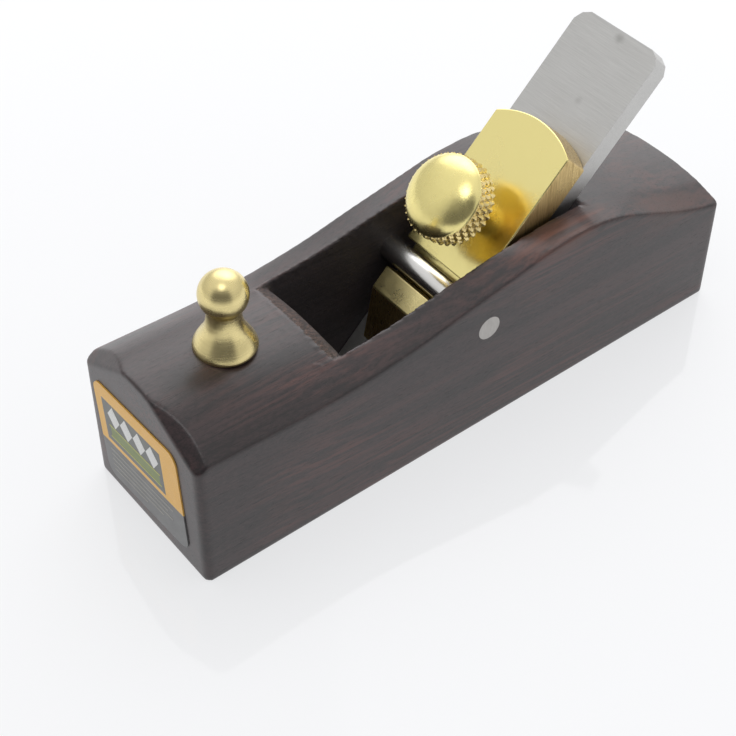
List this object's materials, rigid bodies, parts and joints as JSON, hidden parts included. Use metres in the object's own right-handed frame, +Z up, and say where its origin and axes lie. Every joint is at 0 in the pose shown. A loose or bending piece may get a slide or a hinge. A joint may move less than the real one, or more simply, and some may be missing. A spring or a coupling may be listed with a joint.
{
  "type": "hand plane",
  "caption": "Small wooden hand plane with an arched stock, angled iron, brass lever cap on a cross pin, knurled lever screw and a turned brass front knob.",
  "frame": {"origin": "middle of the sole's outline, on the surface that the sole rests on", "axes": "+X points to the toe, which is the cutting direction, +Y to the left side seen by a user behind the plane, +Z up"},
  "size_m": [0.1003, 0.0286, 0.0484],
  "materials": {
    "stock_wood": "oiled dark rosewood",
    "pin_steel": "turned and sanded flush",
    "iron_steel": "ground",
    "cap_brass": "satin",
    "screw_brass": "polished dome, knurled rim",
    "knob_brass": "turned",
    "stud_steel": "plain",
    "label_print": "printed label"
  },
  "bodies": {
    "stock_body": {"stock": "stock_wood", "cross_pin": "pin_steel", "front_knob": "knob_brass", "knob_stud": "stud_steel", "toe_label": "label_print"},
    "iron_body": {"iron": "iron_steel"},
    "cap_body": {"lever_cap": "cap_brass"},
    "shank_body": {"screw_shank": "screw_brass"},
    "head_body": {"screw_knob": "screw_brass"}
  },
  "joints": [
    {"name": "iron_slide", "type": "slide", "parent": "stock_body", "child": "iron_body", "axis": [-0.7193, 0, 0.6947], "range_m": [-0.0006, 0.03]},
    {"name": "cap_tilt", "type": "hinge", "parent": "stock_body", "child": "cap_body", "pos_m": [-0.00106, 0, 0.01985], "axis": [0, 1, 0], "range_deg": [-0.45, 0]},
    {"name": "screw_advance", "type": "slide", "parent": "cap_body", "child": "shank_body", "axis": [0.6947, 0, 0.7193], "range_m": [0, 0.00162]},
    {"name": "screw_turn", "type": "hinge", "parent": "shank_body", "child": "head_body", "pos_m": [-0.00548, 0.0008, 0.0324], "axis": [0.6947, 0, 0.7193], "range_deg": [0, 720]}
  ],
  "couplings": [
    {"joint": "screw_advance", "follows": "screw_turn", "m_per_rad": 0.00012732},
    {"joint": "cap_tilt", "follows": "screw_turn", "ratio": -0.00055556}
  ]
}
